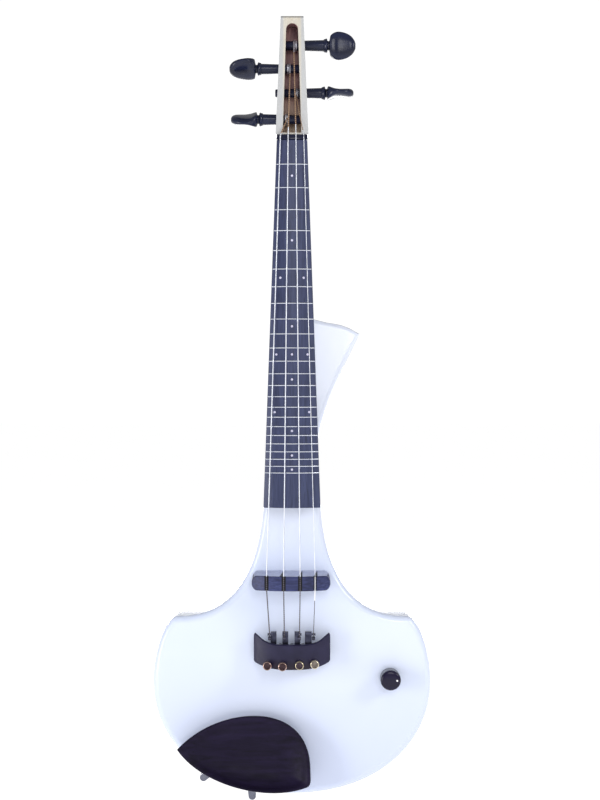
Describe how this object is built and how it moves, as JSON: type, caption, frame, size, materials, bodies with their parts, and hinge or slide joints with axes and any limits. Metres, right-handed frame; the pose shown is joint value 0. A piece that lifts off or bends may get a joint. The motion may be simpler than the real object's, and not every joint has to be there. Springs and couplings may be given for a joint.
{
  "type": "electric violin",
  "caption": "Solid-body electric violin with a fretted board, a treble-side horn, friction pegs, a tailpiece with fine tuners, a clamped chin rest and a volume knob.",
  "frame": {"origin": "on the flat back, in the middle of the widest part of the lower bout", "axes": "+Z along the neck to the head, +X to the treble side (right of a viewer who faces the front), +Y out of the back, so the face looks to -Y"},
  "size_m": [0.2062, 0.0658, 0.5836],
  "materials": {
    "body_lacquer": "gloss white lacquer over wood",
    "cover_plastic": "fine matte texture",
    "neck_lacquer": "satin off-white lacquer",
    "board_wood": "oiled dark fingerboard wood",
    "ebony": "polished black ebony",
    "fret_wire": "polished nickel silver wire",
    "wound_string": "flat wound wire",
    "plain_string": "plain bright wire",
    "bridge_black": "polished black",
    "tail_satin": "satin brown-black",
    "lever_black": "satin black",
    "screw_copper": "copper-toned rim and dark face",
    "screw_gold": "gold-toned rim and dark face",
    "bright_steel": "bright plated",
    "knob_black": "gloss black",
    "shaft_aluminium": "turned",
    "pot_steel": "stamped steel can",
    "battery_case": "plain printed-free metal case",
    "circuit_board": "solder resist",
    "chin_ebony": "matte dark ebony",
    "clamp_chrome": "nickel plated"
  },
  "bodies": {
    "instrument": {"body": "body_lacquer", "back_cover": "cover_plastic", "neck": "neck_lacquer", "fingerboard": "board_wood", "nut": "ebony", "fret_01": "fret_wire", "fret_02": "fret_wire", "fret_03": "fret_wire", "fret_04": "fret_wire", "fret_05": "fret_wire", "fret_06": "fret_wire", "fret_07": "fret_wire", "fret_08": "fret_wire", "fret_09": "fret_wire", "fret_10": "fret_wire", "fret_11": "fret_wire", "fret_12": "fret_wire", "fret_13": "fret_wire", "fret_14": "fret_wire", "fret_15": "fret_wire", "fret_16": "fret_wire", "fret_17": "fret_wire", "fret_18": "fret_wire", "fret_19": "fret_wire", "fret_20": "fret_wire", "fret_21": "fret_wire", "fret_22": "fret_wire", "fret_23": "fret_wire", "fret_24": "fret_wire", "string_g": "wound_string", "string_d": "wound_string", "string_a": "wound_string", "string_e": "plain_string", "bridge": "bridge_black", "tailpiece": "tail_satin", "tuner_pivot_pin": "bright_steel", "potentiometer": "pot_steel", "output_jack": "bright_steel", "jack_nut": "bright_steel", "battery": "battery_case", "preamp_board": "circuit_board", "chin_rest": "chin_ebony", "clamp_bracket": "clamp_chrome"},
    "g_peg": {"peg_g": "ebony"},
    "d_peg": {"peg_d": "ebony"},
    "a_peg": {"peg_a": "ebony"},
    "e_peg": {"peg_e": "ebony"},
    "volume_control": {"volume_knob": "knob_black", "volume_shaft": "shaft_aluminium"},
    "g_tuner_screw": {"tuner_screw_g": "screw_copper"},
    "d_tuner_screw": {"tuner_screw_d": "screw_copper"},
    "a_tuner_screw": {"tuner_screw_a": "screw_gold"},
    "e_tuner_screw": {"tuner_screw_e": "screw_gold"},
    "g_tuner_lever": {"tuner_lever_g": "lever_black"},
    "d_tuner_lever": {"tuner_lever_d": "lever_black"},
    "a_tuner_lever": {"tuner_lever_a": "lever_black"},
    "e_tuner_lever": {"tuner_lever_e": "lever_black"},
    "left_barrel": {"clamp_barrel_left": "clamp_chrome"},
    "right_barrel": {"clamp_barrel_right": "clamp_chrome"},
    "foot": {"clamp_foot": "clamp_chrome"}
  },
  "joints": [
    {"name": "g_peg_turn", "type": "hinge", "parent": "instrument", "child": "g_peg", "pos_m": [0, -0.03024, 0.4182], "axis": [1, 0, 0], "continuous": true},
    {"name": "d_peg_turn", "type": "hinge", "parent": "instrument", "child": "d_peg", "pos_m": [0, -0.02479, 0.457], "axis": [1, 0, 0], "continuous": true},
    {"name": "a_peg_turn", "type": "hinge", "parent": "instrument", "child": "a_peg", "pos_m": [0, -0.02226, 0.475], "axis": [1, 0, 0], "continuous": true},
    {"name": "e_peg_turn", "type": "hinge", "parent": "instrument", "child": "e_peg", "pos_m": [0, -0.0274, 0.4384], "axis": [1, 0, 0], "continuous": true},
    {"name": "volume_turn", "type": "hinge", "parent": "instrument", "child": "volume_control", "pos_m": [0.0725, -0.04, 0.0031], "axis": [0, -1, 0], "range_deg": [-60, 240]},
    {"name": "g_screw_turn", "type": "hinge", "parent": "instrument", "child": "g_tuner_screw", "pos_m": [-0.018, -0.055, 0.015], "axis": [0, -1, 0], "range_deg": [-420, 420]},
    {"name": "d_screw_turn", "type": "hinge", "parent": "instrument", "child": "d_tuner_screw", "pos_m": [-0.0069, -0.055, 0.0148], "axis": [0, -1, 0], "range_deg": [-420, 420]},
    {"name": "a_screw_turn", "type": "hinge", "parent": "instrument", "child": "a_tuner_screw", "pos_m": [0.0055, -0.055, 0.0155], "axis": [0, -1, 0], "range_deg": [-420, 420]},
    {"name": "e_screw_turn", "type": "hinge", "parent": "instrument", "child": "e_tuner_screw", "pos_m": [0.0166, -0.055, 0.0158], "axis": [0, -1, 0], "range_deg": [-420, 420]},
    {"name": "g_lever_tilt", "type": "hinge", "parent": "instrument", "child": "g_tuner_lever", "pos_m": [-0.0135, -0.0486, 0.0284], "axis": [1, 0, 0], "range_deg": [-2.6, 2.6]},
    {"name": "d_lever_tilt", "type": "hinge", "parent": "instrument", "child": "d_tuner_lever", "pos_m": [-0.0049, -0.0486, 0.0284], "axis": [1, 0, 0], "range_deg": [-2.6, 2.6]},
    {"name": "a_lever_tilt", "type": "hinge", "parent": "instrument", "child": "a_tuner_lever", "pos_m": [0.004, -0.0486, 0.0284], "axis": [1, 0, 0], "range_deg": [-2.6, 2.6]},
    {"name": "e_lever_tilt", "type": "hinge", "parent": "instrument", "child": "e_tuner_lever", "pos_m": [0.012, -0.0486, 0.0284], "axis": [1, 0, 0], "range_deg": [-2.6, 2.6]},
    {"name": "left_barrel_turn", "type": "hinge", "parent": "instrument", "child": "left_barrel", "pos_m": [-0.0654, -0.02, -0.0702], "axis": [0, -1, 0], "range_deg": [0, 1029]},
    {"name": "right_barrel_turn", "type": "hinge", "parent": "instrument", "child": "right_barrel", "pos_m": [-0.0294, -0.02, -0.084], "axis": [0, -1, 0], "range_deg": [0, 1029]},
    {"name": "foot_slide", "type": "slide", "parent": "instrument", "child": "foot", "axis": [0, 1, 0], "range_m": [0, 0.004]}
  ],
  "couplings": [
    {"joint": "g_lever_tilt", "follows": "g_screw_turn", "ratio": -0.005952},
    {"joint": "d_lever_tilt", "follows": "d_screw_turn", "ratio": -0.005952},
    {"joint": "a_lever_tilt", "follows": "a_screw_turn", "ratio": -0.005952},
    {"joint": "e_lever_tilt", "follows": "e_screw_turn", "ratio": -0.005952},
    {"joint": "left_barrel_turn", "follows": "foot_slide", "rad_per_m": 4487.9},
    {"joint": "right_barrel_turn", "follows": "foot_slide", "rad_per_m": 4487.9}
  ]
}
